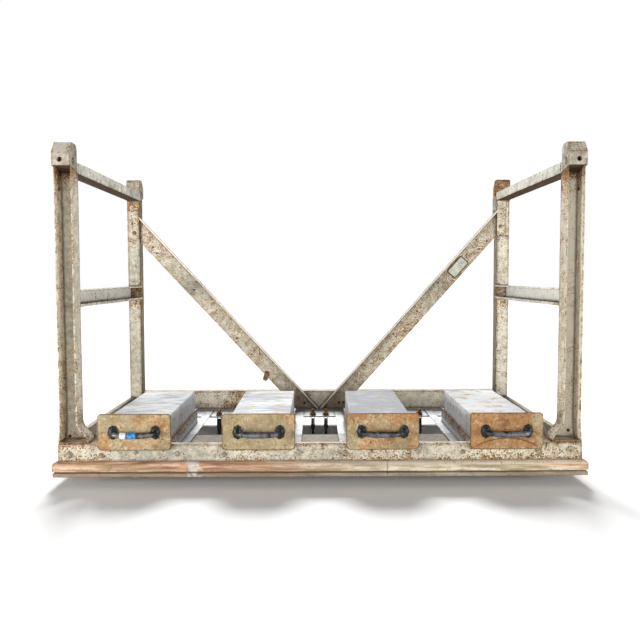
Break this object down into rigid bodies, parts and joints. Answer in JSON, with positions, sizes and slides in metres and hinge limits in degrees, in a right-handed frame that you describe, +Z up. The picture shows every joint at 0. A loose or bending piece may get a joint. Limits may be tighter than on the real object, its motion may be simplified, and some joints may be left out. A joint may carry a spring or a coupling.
{
  "type": "luggage trolley",
  "caption": "Low pressed-steel luggage trolley with corner posts and cast heads, side rails, a V-braced back, pull-out boxes on guide rails, a rubbing strip and castors.",
  "frame": {"origin": "on the ground, at the middle of the bounding box seen from above", "axes": "+X along the length, to the right as seen from the box handles; -Y to the front, where the handles are; +Z up"},
  "size_m": [1.548, 0.9474, 0.99],
  "materials": {
    "frame_paint": "worn grey-green paint, flaking to orange and brown rust",
    "head_paint": "chalky cream paint on castings, with rust stains",
    "rub_strip": "worn coppery to cream rubbing strip",
    "panel_rust": "tan to orange rusted sheet",
    "box_sheet": "pale bluish grey sheet steel, rusty along its edges",
    "rail_sheet": "pale sheet steel with brown edges",
    "handle_iron": "black cast iron, rubbed bright on the bar",
    "castor_steel": "black painted steel",
    "castor_tyre": "matt black rubber"
  },
  "bodies": {
    "frame": {"base_front_member": "frame_paint", "base_rear_member": "frame_paint", "base_side_member_left": "frame_paint", "base_side_member_right": "frame_paint", "rub_strip_front": "rub_strip", "rub_strip_rear": "rub_strip", "rub_strip_left": "rub_strip", "rub_strip_right": "rub_strip", "post_front_left": "frame_paint", "post_front_right": "frame_paint", "post_rear_left": "frame_paint", "post_rear_right": "frame_paint", "head_front_left": "head_paint", "head_front_right": "head_paint", "head_rear_left": "head_paint", "head_rear_right": "head_paint", "top_rail_left": "frame_paint", "top_rail_right": "frame_paint", "mid_rail_left": "frame_paint", "mid_rail_right": "frame_paint", "brace_left": "frame_paint", "brace_right": "frame_paint", "castor_plate_front": "rail_sheet", "castor_plate_rear": "rail_sheet", "guide_rail_1_left": "rail_sheet", "guide_rail_1_right": "rail_sheet", "guide_rail_2_left": "rail_sheet", "guide_rail_2_right": "rail_sheet", "guide_rail_3_left": "rail_sheet", "guide_rail_3_right": "rail_sheet", "guide_rail_4_left": "rail_sheet", "guide_rail_4_right": "rail_sheet", "rear_castor_1_fork": "castor_steel", "rear_castor_2_fork": "castor_steel", "rear_castor_3_fork": "castor_steel", "rear_castor_4_fork": "castor_steel"},
    "box_1": {"box_1_tray": "box_sheet", "box_1_cover": "box_sheet", "box_1_panel": "panel_rust", "box_1_handle": "handle_iron"},
    "box_2": {"box_2_tray": "box_sheet", "box_2_cover": "box_sheet", "box_2_panel": "panel_rust", "box_2_handle": "handle_iron"},
    "box_3": {"box_3_tray": "box_sheet", "box_3_cover": "box_sheet", "box_3_panel": "panel_rust", "box_3_handle": "handle_iron"},
    "box_4": {"box_4_tray": "box_sheet", "box_4_cover": "box_sheet", "box_4_panel": "panel_rust", "box_4_handle": "handle_iron"},
    "rear_wheel_1": {"rear_castor_1_wheel": "castor_tyre"},
    "rear_wheel_2": {"rear_castor_2_wheel": "castor_tyre"},
    "rear_wheel_3": {"rear_castor_3_wheel": "castor_tyre"},
    "rear_wheel_4": {"rear_castor_4_wheel": "castor_tyre"},
    "front_swivel_1": {"front_castor_1_fork": "castor_steel"},
    "front_wheel_1": {"front_castor_1_wheel": "castor_tyre"},
    "front_swivel_2": {"front_castor_2_fork": "castor_steel"},
    "front_wheel_2": {"front_castor_2_wheel": "castor_tyre"}
  },
  "joints": [
    {"name": "box_1_slide", "type": "slide", "parent": "frame", "child": "box_1", "axis": [0, -1, 0], "range_m": [0, 0.35]},
    {"name": "box_2_slide", "type": "slide", "parent": "frame", "child": "box_2", "axis": [0, -1, 0], "range_m": [0, 0.35]},
    {"name": "box_3_slide", "type": "slide", "parent": "frame", "child": "box_3", "axis": [0, -1, 0], "range_m": [0, 0.35]},
    {"name": "box_4_slide", "type": "slide", "parent": "frame", "child": "box_4", "axis": [0, -1, 0], "range_m": [0, 0.35]},
    {"name": "rear_wheel_1_roll", "type": "hinge", "parent": "frame", "child": "rear_wheel_1", "pos_m": [-0.386, 0.2678, 0.03], "axis": [1, 0, 0], "continuous": true},
    {"name": "rear_wheel_2_roll", "type": "hinge", "parent": "frame", "child": "rear_wheel_2", "pos_m": [-0.025, 0.2678, 0.03], "axis": [1, 0, 0], "continuous": true},
    {"name": "rear_wheel_3_roll", "type": "hinge", "parent": "frame", "child": "rear_wheel_3", "pos_m": [0.025, 0.2678, 0.03], "axis": [1, 0, 0], "continuous": true},
    {"name": "rear_wheel_4_roll", "type": "hinge", "parent": "frame", "child": "rear_wheel_4", "pos_m": [0.386, 0.2678, 0.03], "axis": [1, 0, 0], "continuous": true},
    {"name": "front_castor_1_swivel", "type": "hinge", "parent": "frame", "child": "front_swivel_1", "pos_m": [-0.386, -0.3192, 0.0697], "axis": [0, 0, 1], "continuous": true},
    {"name": "front_wheel_1_roll", "type": "hinge", "parent": "front_swivel_1", "child": "front_wheel_1", "pos_m": [-0.386, -0.3052, 0.03], "axis": [1, 0, 0], "continuous": true},
    {"name": "front_castor_2_swivel", "type": "hinge", "parent": "frame", "child": "front_swivel_2", "pos_m": [0.386, -0.3192, 0.0697], "axis": [0, 0, 1], "continuous": true},
    {"name": "front_wheel_2_roll", "type": "hinge", "parent": "front_swivel_2", "child": "front_wheel_2", "pos_m": [0.386, -0.3052, 0.03], "axis": [1, 0, 0], "continuous": true}
  ]
}
